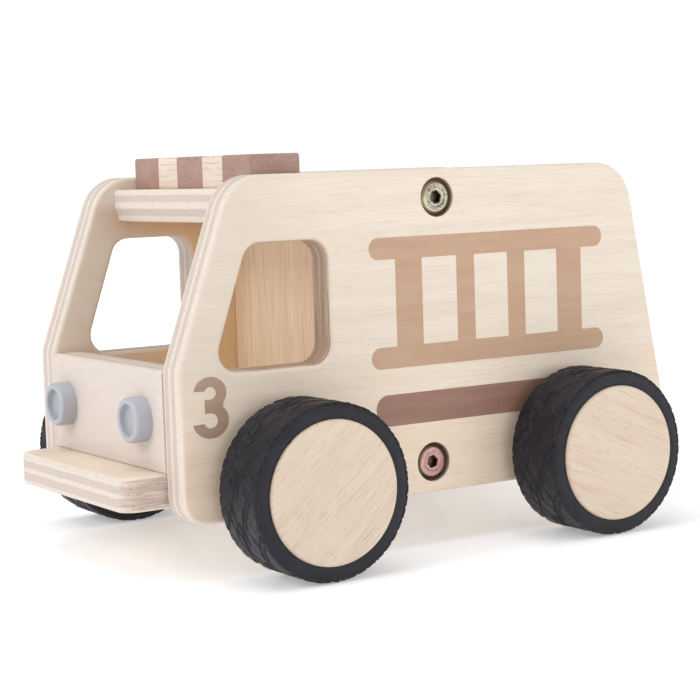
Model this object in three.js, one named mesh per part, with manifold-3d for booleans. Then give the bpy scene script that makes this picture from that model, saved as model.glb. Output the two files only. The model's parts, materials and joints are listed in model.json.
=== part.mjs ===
// Wooden toy fire engine: two plywood sides bolted to a floor board and a roof board, with a cab
// wall, a front panel, a striped light bar and two wheelsets that roll.
// Millimetres. +Z is up, the ground is z = 0, the front faces -Y and X runs across the toy.
import * as THREE from 'three';
import { mergeVertices } from 'three/addons/utils/BufferGeometryUtils.js';
import Module from 'manifold-3d';

const wasm = await Module();
wasm.setup();

// ---- Driving dimensions ----
const PLY = 14.5;
const PLY_ROUND = 2;
const BODY_WIDTH = 137;
const INNER_HALF = BODY_WIDTH / 2 - PLY;
const OUTER_HALF = BODY_WIDTH / 2;
const GLUE_GAP = 0.3;
const FIT_GAP = 0.05;

// Side panel outline, in the plane of Y and Z.
const SIDE_BOTTOM_Z = 23.4;
const SIDE_TOP_Z = 165.5;
const FRONT_Y = -121.2;
const SCREEN_FOOT_Z = 87.4;
const SCREEN_LEAN = 0.36;
const REAR_FOOT_Y = 143.76;
const REAR_LEAN = 0.19;
const FRONT_FOOT_R = 11.5;
const REAR_FOOT_R = 12;
const SCREEN_FOOT_R = 14;
const SCREEN_TOP_R = 19;
const REAR_TOP_R = 20.5;

// Side window, a hole with one leaning edge.
const WINDOW_BOTTOM_Z = 85.1;
const WINDOW_TOP_Z = 137.3;
const WINDOW_REAR_Y = -48.2;
const WINDOW_FRONT_FOOT_Y = -104.9;
const WINDOW_LEAN = 0.35;
const WINDOW_R = 8.5;

// Boards between the sides.
const FLOOR_TOP_Z = 44;
const FLOOR_FRONT_Y = -141.2;
const FLOOR_REAR_Y = 131;
const FLOOR_CORNER_R = 8.5;
const ROOF_TOP_Z = 160;
const ROOF_FRONT_Y = -87.1;
const ROOF_REAR_Y = 109;
const FRONT_PANEL_TOP_Z = 86.8;
const BULKHEAD_FRONT_Y = -25.5;

// Light bar of five glued blocks.
const LIGHT_BAR_FRONT_Y = -75.9;
const LIGHT_BAR_DEPTH = 24.4;
const LIGHT_BAR_TOP_Z = 174;
const DARK_BLOCK = 23.8;
const PALE_BLOCK = 18;

// Headlight cups.
const LAMP_X = [-39.7, 34.7];
const LAMP_Z = 65.3;
const LAMP_R = 9.7;
const LAMP_LENGTH = 7.5;
const LAMP_RECESS_R = 6.8;
const LAMP_RECESS = 3;
const SPIGOT_R = 4;
const SPIGOT_LENGTH = 8;

// Wheels and axles.
const AXLE_Y = { front: -71.8, rear: 77.4 };
const AXLE_Z = 37;
const AXLE_R = 3;
const AXLE_HALF = 95.5;
const TYRE_R = 37;
const TYRE_BORE_R = 26.3;
const TYRE_INNER_X = 75.1;
const TYRE_OUTER_X = 105.5;
const TYRE_SHOULDER = 2.4;
const CORE_R = 26;
const DISC_R = 30;
const DISC_BACK_X = 100.3;
const DISC_FACE_X = 107.3;
const DISC_ROUND = 1.2;
const BUSH_R = 5;
const BUSH_FLANGE_R = 7.5;
const BUSH_FLANGE = 1.5;
const SPACER_R = 6;
const AXLE_TUNNEL_R = 4;

// Connector bolts and their barrel nuts.
const BOLT_PLACES = {
  upper: { y: 8.9, z: 153 },
  lower: { y: 3.3, z: 37 },
};
const RECESS_R = 8.6;
const RECESS_DEPTH = 4;
const BOLT_FACE_R = 6.35;
const BOLT_HEAD_R = 7.9;
const BOLT_RIM = 1.2;
const BOLT_HEAD = 3.2;
const BOLT_SHANK_R = 3;
const BOLT_TIP_X = 19;
const BOLT_HOLE_R = 3.3;
const HEX_ACROSS_FLATS = 5;
const HEX_DEPTH = 3;
const NUT_X = 26;
const NUT_R = 5;
const NUT_LENGTH = 12;

// Dowels: along X between sides and boards, along Z under the upright panels.
const DOWEL_R = 3;
const SIDE_DOWEL_IN_PANEL = 8;
const SIDE_DOWEL_IN_BOARD = 14;
const DOWEL_PLACES = {
  roof_front: { y: -66, z: 152.75 },
  roof_rear: { y: 85, z: 152.75 },
  floor_front: { y: -100, z: 36.75 },
  floor_rear: { y: 112, z: 36.75 },
};
const UPRIGHT_DOWEL_X = 30;
const UPRIGHT_DOWEL_Z = [37, 54];

const FLOOR_UNDER_Z = FLOOR_TOP_Z - PLY;
const ROOF_UNDER_Z = ROOF_TOP_Z - PLY;

const WOOD = { color: 0xe8d3b0, roughness: 0.62 };
const PINE = { color: 0xd9b483, roughness: 0.65 };
const DARK_WOOD = { color: 0x9a7468, roughness: 0.6 };
const DOWEL_WOOD = { color: 0xdcbf95, roughness: 0.7 };
const RUBBER = { color: 0x2c2c31, roughness: 0.85 };
const GREY_PLASTIC = { color: 0xb9bbc4, roughness: 0.45 };
const NYLON = { color: 0xe6e6e2, roughness: 0.5 };
const STEEL = { color: 0xb8b9bb, roughness: 0.3, metalness: 1 };
const ZINC = { color: 0xc2b280, roughness: 0.32, metalness: 1 };

// ---- Solid helpers ----

function toSolid(geometry) {
  const bare = geometry.clone();
  bare.deleteAttribute('normal');
  bare.deleteAttribute('uv');
  const merged = mergeVertices(bare, 1e-4);
  const vertProperties = new Float32Array(merged.attributes.position.array);
  const triVerts = new Uint32Array(merged.index.array);
  return new wasm.Manifold(new wasm.Mesh({ numProp: 3, vertProperties, triVerts }));
}

function toGeometry(solid) {
  const mesh = solid.getMesh();
  const geometry = new THREE.BufferGeometry();
  geometry.setAttribute('position', new THREE.BufferAttribute(mesh.vertProperties, 3));
  geometry.setIndex(new THREE.BufferAttribute(mesh.triVerts, 1));
  return geometry;
}

function cut(geometry, tools) {
  let solid = toSolid(geometry);
  for (const tool of tools) {
    solid = solid.subtract(toSolid(tool));
  }
  return toGeometry(solid);
}

function mirrorAcross(geometry) {
  return toGeometry(toSolid(geometry).mirror([1, 0, 0]));
}

// ---- Shape helpers ----

// Points round a closed outline given counter-clockwise as [a, b, corner radius].
function roundedOutline(corners, steps = 6) {
  const points = [];
  const count = corners.length;
  for (let i = 0; i < count; i += 1) {
    const [a, b, radius] = corners[i];
    const here = new THREE.Vector2(a, b);
    const previous = corners[(i + count - 1) % count];
    const next = corners[(i + 1) % count];
    const back = new THREE.Vector2(previous[0], previous[1]).sub(here).normalize();
    const ahead = new THREE.Vector2(next[0], next[1]).sub(here).normalize();
    if (!radius) {
      points.push(here);
      continue;
    }
    const half = Math.acos(THREE.MathUtils.clamp(back.dot(ahead), -1, 1)) / 2;
    const towards = back.clone().add(ahead).normalize();
    const centre = here.clone().addScaledVector(towards, radius / Math.sin(half));
    const reach = radius / Math.tan(half);
    const first = here.clone().addScaledVector(back, reach).sub(centre);
    const turn = Math.PI - 2 * half;
    const sense = Math.sign(back.cross(ahead)) * -1;
    for (let step = 0; step <= steps; step += 1) {
      const arm = first.clone().rotateAround(new THREE.Vector2(), sense * turn * (step / steps));
      points.push(centre.clone().add(arm));
    }
  }
  return points;
}

// A sheet whose outline lies in local X and Y, with its edges rounded on both faces.
function roundedSheet(outline, holes, thickness, rounding) {
  const shape = new THREE.Shape(outline);
  for (const hole of holes) {
    shape.holes.push(new THREE.Path(hole));
  }
  const geometry = new THREE.ExtrudeGeometry(shape, {
    depth: thickness - 2 * rounding,
    steps: 1,
    bevelEnabled: rounding > 0,
    bevelThickness: rounding,
    bevelSize: rounding,
    bevelOffset: -rounding,
    bevelSegments: 2,
  });
  return geometry.translate(0, 0, rounding);
}

// Turns a sheet drawn in local X and Y so that it lies in Y and Z, thick along X.
function standAcross(geometry) {
  const turn = new THREE.Matrix4().makeBasis(
    new THREE.Vector3(0, 1, 0),
    new THREE.Vector3(0, 0, 1),
    new THREE.Vector3(1, 0, 0),
  );
  return geometry.applyMatrix4(turn);
}

// A bar of constant section in Y and Z, reaching the same distance to both sides.
function crossBar(section, halfWidth) {
  const bar = roundedSheet(section, [], 2 * halfWidth, 0);
  return standAcross(bar).translate(-halfWidth, 0, 0);
}

function rodAlongX(radius, fromX, toX, y, z, segments = 24) {
  const rod = new THREE.CylinderGeometry(radius, radius, Math.abs(toX - fromX), segments);
  rod.rotateZ(Math.PI / 2);
  return rod.translate((fromX + toX) / 2, y, z);
}

function rodAlongY(radius, fromY, toY, x, z, segments = 24) {
  const rod = new THREE.CylinderGeometry(radius, radius, toY - fromY, segments);
  return rod.translate(x, (fromY + toY) / 2, z);
}

function rodAlongZ(radius, fromZ, toZ, x, y, segments = 24) {
  const rod = new THREE.CylinderGeometry(radius, radius, toZ - fromZ, segments);
  rod.rotateX(Math.PI / 2);
  return rod.translate(x, y, (fromZ + toZ) / 2);
}

// A turned body about the line y, z along X. The profile is [radius, x], from axis to axis or closed.
function turnedAlongX(profile, y, z, segments) {
  const points = profile.map(([radius, x]) => new THREE.Vector2(radius, x));
  const body = new THREE.LatheGeometry(points, segments);
  body.rotateZ(-Math.PI / 2);
  return toGeometry(toSolid(body)).translate(0, y, z);
}

// ---- Side panels ----

function sideOutline() {
  const screenTopY = FRONT_Y + SCREEN_LEAN * (SIDE_TOP_Z - SCREEN_FOOT_Z);
  const rearTopY = REAR_FOOT_Y - REAR_LEAN * (SIDE_TOP_Z - SIDE_BOTTOM_Z);
  return roundedOutline([
    [FRONT_Y, SIDE_BOTTOM_Z, FRONT_FOOT_R],
    [REAR_FOOT_Y, SIDE_BOTTOM_Z, REAR_FOOT_R],
    [rearTopY, SIDE_TOP_Z, REAR_TOP_R],
    [screenTopY, SIDE_TOP_Z, SCREEN_TOP_R],
    [FRONT_Y, SCREEN_FOOT_Z, SCREEN_FOOT_R],
  ]);
}

function windowOutline() {
  const topY = WINDOW_FRONT_FOOT_Y + WINDOW_LEAN * (WINDOW_TOP_Z - WINDOW_BOTTOM_Z);
  return roundedOutline([
    [WINDOW_FRONT_FOOT_Y, WINDOW_BOTTOM_Z, WINDOW_R],
    [WINDOW_REAR_Y, WINDOW_BOTTOM_Z, WINDOW_R],
    [WINDOW_REAR_Y, WINDOW_TOP_Z, WINDOW_R],
    [topY, WINDOW_TOP_Z, WINDOW_R],
  ]);
}

function sidePanelTools() {
  const tools = [];
  for (const { y, z } of Object.values(BOLT_PLACES)) {
    tools.push(rodAlongX(RECESS_R, OUTER_HALF - RECESS_DEPTH, OUTER_HALF + 2, y, z, 32));
    tools.push(rodAlongX(BOLT_HOLE_R, INNER_HALF - 2, OUTER_HALF, y, z, 16));
  }
  for (const y of Object.values(AXLE_Y)) {
    tools.push(rodAlongX(BUSH_R + FIT_GAP, INNER_HALF - 2, OUTER_HALF + 2, y, AXLE_Z));
  }
  const dowelEnd = INNER_HALF + SIDE_DOWEL_IN_PANEL + GLUE_GAP;
  for (const { y, z } of Object.values(DOWEL_PLACES)) {
    tools.push(rodAlongX(DOWEL_R + FIT_GAP, INNER_HALF - 2, dowelEnd, y, z, 12));
  }
  return tools;
}

function sidePanelLeft() {
  const sheet = roundedSheet(sideOutline(), [windowOutline()], PLY, PLY_ROUND);
  standAcross(sheet).translate(INNER_HALF, 0, 0);
  return cut(sheet, sidePanelTools());
}

// ---- Boards ----

// Holes in a board for the bolts, barrel nuts and side dowels of one level, on both sides.
function boardTools(boltName, dowelNames, underZ) {
  const tools = [];
  const bolt = BOLT_PLACES[boltName];
  for (const side of [-1, 1]) {
    const outside = side * (INNER_HALF + 2);
    tools.push(rodAlongX(BOLT_HOLE_R, side * (BOLT_TIP_X - 1), outside, bolt.y, bolt.z, 16));
    const nutTop = bolt.z + NUT_LENGTH / 2 + FIT_GAP;
    tools.push(rodAlongZ(NUT_R + FIT_GAP, underZ - 2, nutTop, side * NUT_X, bolt.y, 16));
    const dowelEnd = side * (INNER_HALF - SIDE_DOWEL_IN_BOARD - GLUE_GAP);
    for (const name of dowelNames) {
      const { y, z } = DOWEL_PLACES[name];
      tools.push(rodAlongX(DOWEL_R + FIT_GAP, dowelEnd, outside, y, z, 12));
    }
  }
  return tools;
}

function uprightDowelTools(y) {
  const [fromZ, toZ] = UPRIGHT_DOWEL_Z;
  const reach = DOWEL_R + FIT_GAP;
  return [-1, 1].map((side) =>
    rodAlongZ(reach, fromZ - GLUE_GAP, toZ + GLUE_GAP, side * UPRIGHT_DOWEL_X, y, 12));
}

function floorBoard() {
  const outline = roundedOutline([
    [-INNER_HALF, FLOOR_FRONT_Y, FLOOR_CORNER_R],
    [INNER_HALF, FLOOR_FRONT_Y, FLOOR_CORNER_R],
    [INNER_HALF, FLOOR_REAR_Y, 3],
    [-INNER_HALF, FLOOR_REAR_Y, 3],
  ]);
  const board = roundedSheet(outline, [], PLY, PLY_ROUND).translate(0, 0, FLOOR_UNDER_Z);
  const tools = boardTools('lower', ['floor_front', 'floor_rear'], FLOOR_UNDER_Z);
  for (const y of Object.values(AXLE_Y)) {
    tools.push(rodAlongX(AXLE_TUNNEL_R, -INNER_HALF - 2, INNER_HALF + 2, y, AXLE_Z, 16));
  }
  tools.push(...uprightDowelTools(FRONT_Y + PLY / 2));
  tools.push(...uprightDowelTools(BULKHEAD_FRONT_Y + PLY / 2));
  return cut(board, tools);
}

function roofBoard() {
  const section = roundedOutline([
    [ROOF_FRONT_Y, ROOF_TOP_Z, 1.5],
    [ROOF_FRONT_Y, ROOF_UNDER_Z + 6, 4],
    [ROOF_FRONT_Y + 2.2, ROOF_UNDER_Z, 1],
    [ROOF_REAR_Y, ROOF_UNDER_Z, PLY_ROUND],
    [ROOF_REAR_Y, ROOF_TOP_Z, PLY_ROUND],
  ], 3);
  const tools = boardTools('upper', ['roof_front', 'roof_rear'], ROOF_UNDER_Z);
  return cut(crossBar(section, INNER_HALF), tools);
}

function frontPanel() {
  const section = roundedOutline([
    [FRONT_Y, FLOOR_TOP_Z, 0],
    [FRONT_Y + PLY, FLOOR_TOP_Z, 0],
    [FRONT_Y + PLY, FRONT_PANEL_TOP_Z, PLY_ROUND],
    [FRONT_Y, FRONT_PANEL_TOP_Z, PLY_ROUND],
  ], 3);
  const tools = uprightDowelTools(FRONT_Y + PLY / 2);
  for (const x of LAMP_X) {
    const holeEnd = FRONT_Y + SPIGOT_LENGTH + GLUE_GAP;
    tools.push(rodAlongY(SPIGOT_R + FIT_GAP, FRONT_Y - 2, holeEnd, x, LAMP_Z, 24));
  }
  return cut(crossBar(section, INNER_HALF - GLUE_GAP), tools);
}

function bulkhead() {
  const section = roundedOutline([
    [BULKHEAD_FRONT_Y, FLOOR_TOP_Z, 0],
    [BULKHEAD_FRONT_Y + PLY, FLOOR_TOP_Z, 0],
    [BULKHEAD_FRONT_Y + PLY, ROOF_UNDER_Z, 0],
    [BULKHEAD_FRONT_Y, ROOF_UNDER_Z, 0],
  ]);
  const tools = uprightDowelTools(BULKHEAD_FRONT_Y + PLY / 2);
  return cut(crossBar(section, INNER_HALF - GLUE_GAP), tools);
}

// ---- Light bar and headlights ----

function lightBarBlock(fromX, toX) {
  const rearY = LIGHT_BAR_FRONT_Y + LIGHT_BAR_DEPTH;
  const section = roundedOutline([
    [LIGHT_BAR_FRONT_Y, ROOF_TOP_Z, 0],
    [rearY, ROOF_TOP_Z, 0],
    [rearY, LIGHT_BAR_TOP_Z, 1],
    [LIGHT_BAR_FRONT_Y, LIGHT_BAR_TOP_Z, 1],
  ], 2);
  return crossBar(section, (toX - fromX) / 2).translate((fromX + toX) / 2, 0, 0);
}

function headlightCup(x) {
  const face = LAMP_LENGTH;
  const points = [
    [0, -SPIGOT_LENGTH],
    [SPIGOT_R, -SPIGOT_LENGTH],
    [SPIGOT_R, 0],
    [LAMP_R, 0],
    [LAMP_R, face - 1.4],
    [LAMP_R - 0.5, face - 0.4],
    [LAMP_R - 1.4, face],
    [LAMP_RECESS_R + 0.8, face],
    [LAMP_RECESS_R, face - 0.7],
    [LAMP_RECESS_R, face - LAMP_RECESS + 0.6],
    [LAMP_RECESS_R - 0.6, face - LAMP_RECESS],
    [0, face - LAMP_RECESS],
  ].map(([radius, along]) => new THREE.Vector2(radius, along));
  const cup = new THREE.LatheGeometry(points, 28);
  cup.rotateX(Math.PI);
  return toGeometry(toSolid(cup)).translate(x, FRONT_Y, LAMP_Z);
}

// ---- Bolts, nuts and dowels ----

function connectorBoltLeft({ y, z }) {
  const seatX = OUTER_HALF - RECESS_DEPTH;
  const faceX = seatX + BOLT_HEAD;
  const bolt = turnedAlongX([
    [0, BOLT_TIP_X],
    [BOLT_SHANK_R - 0.6, BOLT_TIP_X],
    [BOLT_SHANK_R, BOLT_TIP_X + 0.6],
    [BOLT_SHANK_R, seatX],
    [BOLT_HEAD_R, seatX],
    [BOLT_HEAD_R, seatX + BOLT_RIM],
    [BOLT_FACE_R, faceX - 0.2],
    [BOLT_FACE_R - 0.3, faceX],
    [0, faceX],
  ], y, z, 24);
  const hexRadius = HEX_ACROSS_FLATS / Math.sqrt(3);
  const socket = rodAlongX(hexRadius, faceX - HEX_DEPTH, faceX + 1, y, z, 6);
  return cut(bolt, [socket]);
}

function barrelNutLeft({ y, z }) {
  const nut = rodAlongZ(NUT_R, z - NUT_LENGTH / 2, z + NUT_LENGTH / 2, NUT_X, y, 16);
  const thread = rodAlongX(BOLT_SHANK_R + FIT_GAP, NUT_X - 8, NUT_X + 8, y, z, 24);
  const slot = new THREE.BoxGeometry(8, 1.2, 1.4);
  slot.translate(NUT_X, y, z - NUT_LENGTH / 2 + 0.4);
  return cut(nut, [thread, slot]);
}

function sideDowelLeft({ y, z }) {
  const fromX = INNER_HALF - SIDE_DOWEL_IN_BOARD;
  return rodAlongX(DOWEL_R, fromX, INNER_HALF + SIDE_DOWEL_IN_PANEL, y, z, 12);
}

function uprightDowel(side, y) {
  const [fromZ, toZ] = UPRIGHT_DOWEL_Z;
  return rodAlongZ(DOWEL_R, fromZ, toZ, side * UPRIGHT_DOWEL_X, y, 12);
}

// ---- Wheelsets ----

function tyreLeft(y) {
  const inner = TYRE_INNER_X;
  const outer = TYRE_OUTER_X;
  const s = TYRE_SHOULDER;
  return turnedAlongX([
    [TYRE_BORE_R, inner],
    [TYRE_R - s, inner],
    [TYRE_R - s * 0.3, inner + s * 0.3],
    [TYRE_R, inner + s],
    [TYRE_R, outer - s],
    [TYRE_R - s * 0.3, outer - s * 0.3],
    [TYRE_R - s, outer],
    [DISC_R + FIT_GAP, outer],
    [DISC_R + FIT_GAP, DISC_BACK_X],
    [TYRE_BORE_R, DISC_BACK_X],
    [TYRE_BORE_R, inner],
  ], y, AXLE_Z, 48);
}

function wheelDiscLeft(y) {
  return turnedAlongX([
    [0, DISC_BACK_X],
    [DISC_R, DISC_BACK_X],
    [DISC_R, DISC_FACE_X - DISC_ROUND],
    [DISC_R - DISC_ROUND * 0.3, DISC_FACE_X - DISC_ROUND * 0.3],
    [DISC_R - DISC_ROUND, DISC_FACE_X],
    [0, DISC_FACE_X],
  ], y, AXLE_Z, 48);
}

function wheelCoreLeft(y) {
  const boreEnd = AXLE_HALF + GLUE_GAP;
  return turnedAlongX([
    [AXLE_R + FIT_GAP, TYRE_INNER_X],
    [CORE_R, TYRE_INNER_X],
    [CORE_R, DISC_BACK_X],
    [0, DISC_BACK_X],
    [0, boreEnd],
    [AXLE_R + FIT_GAP, boreEnd],
    [AXLE_R + FIT_GAP, TYRE_INNER_X],
  ], y, AXLE_Z, 24);
}

function axleSpacerLeft(y) {
  const fromX = OUTER_HALF + BUSH_FLANGE + GLUE_GAP;
  return turnedAlongX([
    [AXLE_R + FIT_GAP, fromX],
    [SPACER_R, fromX],
    [SPACER_R, TYRE_INNER_X],
    [AXLE_R + FIT_GAP, TYRE_INNER_X],
    [AXLE_R + FIT_GAP, fromX],
  ], y, AXLE_Z, 24);
}

function axleBushLeft(y) {
  const bore = AXLE_R + 0.08;
  return turnedAlongX([
    [bore, INNER_HALF + GLUE_GAP],
    [BUSH_R, INNER_HALF + GLUE_GAP],
    [BUSH_R, OUTER_HALF],
    [BUSH_FLANGE_R, OUTER_HALF],
    [BUSH_FLANGE_R, OUTER_HALF + BUSH_FLANGE],
    [bore, OUTER_HALF + BUSH_FLANGE],
    [bore, INNER_HALF + GLUE_GAP],
  ], y, AXLE_Z, 24);
}

// ---- Assembly ----

const toy = new THREE.Group();
toy.name = 'toy_fire_engine';

function put(name, geometry, look) {
  const material = new THREE.MeshStandardMaterial({ metalness: 0, ...look });
  material.name = `${name}_material`;
  const mesh = new THREE.Mesh(geometry, material);
  mesh.name = name;
  toy.add(mesh);
}

// A piece and its mirror image on the other side of the toy.
function putBothSides(name, geometry, look) {
  put(`${name}_left`, geometry, look);
  put(`${name}_right`, mirrorAcross(geometry), look);
}

function putBody() {
  putBothSides('side_panel', sidePanelLeft(), WOOD);
  put('floor_board', floorBoard(), WOOD);
  put('roof_board', roofBoard(), WOOD);
  put('front_panel', frontPanel(), WOOD);
  put('cab_bulkhead', bulkhead(), PINE);
}

function putLightBar() {
  const widths = [DARK_BLOCK, PALE_BLOCK, DARK_BLOCK, PALE_BLOCK, DARK_BLOCK];
  let fromX = -(3 * DARK_BLOCK + 2 * PALE_BLOCK) / 2;
  widths.forEach((width, index) => {
    const look = index % 2 ? WOOD : DARK_WOOD;
    put(`light_bar_block_${index + 1}`, lightBarBlock(fromX, fromX + width), look);
    fromX += width;
  });
}

function putFittings() {
  put('headlight_cup_right', headlightCup(LAMP_X[0]), GREY_PLASTIC);
  put('headlight_cup_left', headlightCup(LAMP_X[1]), GREY_PLASTIC);
  for (const [level, place] of Object.entries(BOLT_PLACES)) {
    putBothSides(`connector_bolt_${level}`, connectorBoltLeft(place), ZINC);
    putBothSides(`barrel_nut_${level}`, barrelNutLeft(place), STEEL);
  }
  for (const [name, place] of Object.entries(DOWEL_PLACES)) {
    putBothSides(`dowel_${name}`, sideDowelLeft(place), DOWEL_WOOD);
  }
  const uprights = { front_panel: FRONT_Y + PLY / 2, bulkhead: BULKHEAD_FRONT_Y + PLY / 2 };
  for (const [name, y] of Object.entries(uprights)) {
    put(`dowel_${name}_left`, uprightDowel(1, y), DOWEL_WOOD);
    put(`dowel_${name}_right`, uprightDowel(-1, y), DOWEL_WOOD);
  }
}

function putWheelsets() {
  for (const [end, y] of Object.entries(AXLE_Y)) {
    put(`axle_${end}`, rodAlongX(AXLE_R, -AXLE_HALF, AXLE_HALF, y, AXLE_Z), STEEL);
    putBothSides(`axle_bush_${end}`, axleBushLeft(y), NYLON);
    putBothSides(`axle_spacer_${end}`, axleSpacerLeft(y), NYLON);
    putBothSides(`wheel_core_${end}`, wheelCoreLeft(y), WOOD);
    putBothSides(`wheel_disc_${end}`, wheelDiscLeft(y), WOOD);
    putBothSides(`tyre_${end}`, tyreLeft(y), RUBBER);
  }
}

putBody();
putLightBar();
putFittings();
putWheelsets();

export default toy;
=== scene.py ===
"""A push-along toy fire engine of bolted plywood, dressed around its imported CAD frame.

Everything stands in the row frame: +Z up from the ground, -Y towards the front of the toy and
+X towards its left side. Sizes are written in millimetres and turned into metres at the mesh.
"""

import json
import math

import bmesh
import bpy
import numpy as np
from mathutils import Matrix, Vector
from mathutils.geometry import tessellate_polygon


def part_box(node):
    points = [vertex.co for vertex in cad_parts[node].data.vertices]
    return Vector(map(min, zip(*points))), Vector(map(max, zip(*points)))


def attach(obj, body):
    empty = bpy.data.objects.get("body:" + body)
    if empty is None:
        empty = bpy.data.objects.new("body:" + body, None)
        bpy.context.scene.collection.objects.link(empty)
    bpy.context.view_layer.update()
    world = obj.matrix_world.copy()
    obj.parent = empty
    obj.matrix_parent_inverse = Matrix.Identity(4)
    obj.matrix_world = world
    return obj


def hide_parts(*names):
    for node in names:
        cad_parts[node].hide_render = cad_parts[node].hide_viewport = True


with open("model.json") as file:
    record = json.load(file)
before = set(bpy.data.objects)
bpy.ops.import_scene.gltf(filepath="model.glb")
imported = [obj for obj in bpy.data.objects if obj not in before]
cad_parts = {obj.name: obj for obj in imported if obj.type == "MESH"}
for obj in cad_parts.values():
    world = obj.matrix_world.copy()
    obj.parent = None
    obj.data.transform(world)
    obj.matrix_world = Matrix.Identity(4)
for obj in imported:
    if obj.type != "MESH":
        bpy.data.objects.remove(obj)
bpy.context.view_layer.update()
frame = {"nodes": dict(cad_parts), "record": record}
nodes = frame["nodes"]
record = frame["record"]

MM = 0.001
X, Y, Z = 0, 1, 2
SIDES = {"left": 1, "right": -1}
AXLES = ("front", "rear")
LEVELS = ("upper", "lower")
BODY_OF = {n: b for b, members in record["behaviour"]["bodies"].items() for n in members}
SLOT_OF = {part["node"]: part["material_slot"] for part in record["subparts"]}

# ---- Sizes ----

PLY = 14.5
PLY_ROUND = 2.0
PANEL_FACE_X = 68.5
SHARP_EDGE = 0.2         # rounding where a board's end was only sawn
SUPPORT = 0.3            # flat strip that keeps a rounded edge from shading the whole face
ARC_STEPS = 10

# Side panel outline and window: (y, z, corner radius), as in the CAD part.
SIDE_CORNERS = (
    (-121.2, 23.4, 11.5),
    (143.76, 23.4, 12.33),
    (116.76, 165.5, 20.5),
    (-93.08, 165.5, 19.0),
    (-121.2, 87.4, 14.0),
)
WINDOW_CORNERS = (
    (-104.9, 85.1, 8.5),
    (-48.2, 85.1, 8.5),
    (-48.2, 137.3, 8.5),
    (-86.63, 137.3, 8.5),
)
AXLE_BORE_R = 5.05

# Connector bolts and the recesses they sit in.
BOLT_FACE_R = 6.35
BOLT_HEAD_R = 7.9
BOLT_HEAD = 3.2
BOLT_RIM = 1.2
BOLT_SHANK_R = 3.0
BOLT_DISH_R = 4.4        # the dish that the socket opens in
BOLT_DISH = 0.3
SOCKET_FLATS = 5.0
SOCKET_DEPTH = 3.0
SOCKET_TURN = 12         # degrees
BOLT_RECESS_R = 8.6
BOLT_RECESS = 4.0
BOLT_RECESS_ROUND = 0.35

# Boards.
FLOOR_CORNER_R = 8.5
FLOOR_REAR_R = 3.0
TUNNEL_R = 4.0
ROOF_CHIN = 2.2          # how far the roof's front edge leans back below
ROOF_CHIN_TOP = 6.0      # and how high that lean begins above its underside

# Wheels.
TYRE_R = 37.0
TYRE_BORE_R = 26.3
TYRE_RECESS_R = 30.05
TYRE_SEAT = 5.2          # how far the disc's seat lies behind the tyre's outer face
TYRE_SIDE_R = 35.7
TYRE_SHOULDER = 1.6      # width of the curve between the side and the tread
DISC_R = 30.0
DISC_ROUND = 2.0
DISC_BACK_BEVEL = 0.4
TREAD_REPEATS = 11
TREAD_STEPS = 52         # steps round one repeat of the tread
TREAD_ROWS = 66
GROOVE_DEPTH = 0.9
NOTCH_DEPTH = 0.65
LUMP_DEPTH = 0.36
DISC_GRAIN = {"front": 41, "rear": -24}     # degrees that the grain rises towards the rear

# Printed pictures on the sides.
INK = 0.12
RAIL_R = 4.6
BAR_INNER_R = 0.5
RAIL_TOP = (127.2, 136.6)
RAIL_LOW = (80.0, 89.4)
RAIL_Y = (-27.6, 101.0)
BARS = ((-14.2, -0.4), (18.2, 27.8), (46.2, 55.8), (74.4, 88.5))
STRIPE_Y = (-26.0, 100.8)
STRIPE_Z = (54.9, 68.6)
STRIPE_R = 6.0
NUMERAL_Y = -106.9
NUMERAL_Z = 59.0

# The side panels' painted light and shade, and their window edge's browner tone: where each begins and
# where it is full, along one axis.
COLUMN_Y = (-45.0, -95.0)
COLUMN_Z = (62.0, 88.0)
LOW_SIDE_Z = (105.0, 35.0)
INWARD = (-20.0, -50.0)          # x times the x of the face's normal
CAB_PAINTED_BOUNCE_Y = (-100.0, -40.0)
CAB_REAR_Y = (-18.0, -24.0)
CAB_TOP_Z = (156.0, 148.0)
ROOF_SHADE_Y = (-106.0, -84.0)
ROOF_SHADE_Z = (132.0, 149.0)
SCORCH_Y = ((-92.0, -80.0), (-46.0, -48.0))
SCORCH_Z = ((83.0, 85.0), (139.5, 137.5))
NEAR_PANEL_X = (40.0, 50.0)
RECESS_DEPTH = (0.3, 1.6)


def srgb(red, green, blue):
    """A colour of screen values 0 to 255 as the linear colour that a shader takes."""
    def linear(value):
        value /= 255
        return value / 12.92 if value <= 0.04045 else ((value + 0.055) / 1.055) ** 2.4
    return (linear(red), linear(green), linear(blue), 1.0)


# Wood tones are (pale, warm, dark).
SIDE_VENEER = (srgb(228, 215, 200), srgb(222, 205, 185), srgb(189, 162, 132))
BOARD_VENEER = (srgb(232, 216, 200), srgb(224, 206, 184), srgb(190, 164, 140))
FRONT_VENEER = (srgb(217, 204, 195), srgb(213, 198, 187), srgb(192, 170, 154))
BULKHEAD_PINE = (srgb(252, 231, 204), srgb(243, 213, 182), srgb(194, 150, 112))
DISC_FACE = (srgb(217, 199, 180), srgb(210, 189, 167), srgb(172, 138, 108))
DISC_BLUSH = srgb(204, 164, 140)
BAR_BROWN = (srgb(172, 140, 130), srgb(160, 124, 112), srgb(104, 70, 56))
BAR_PALE = (srgb(228, 213, 200), srgb(220, 200, 182), srgb(150, 112, 84))
DOWEL_BEECH = (srgb(216, 184, 146), srgb(200, 164, 122), srgb(160, 118, 80))
CORE_WOOD = (srgb(214, 182, 142), srgb(198, 160, 118), srgb(158, 116, 78))
PORE = srgb(112, 84, 66)
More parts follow.
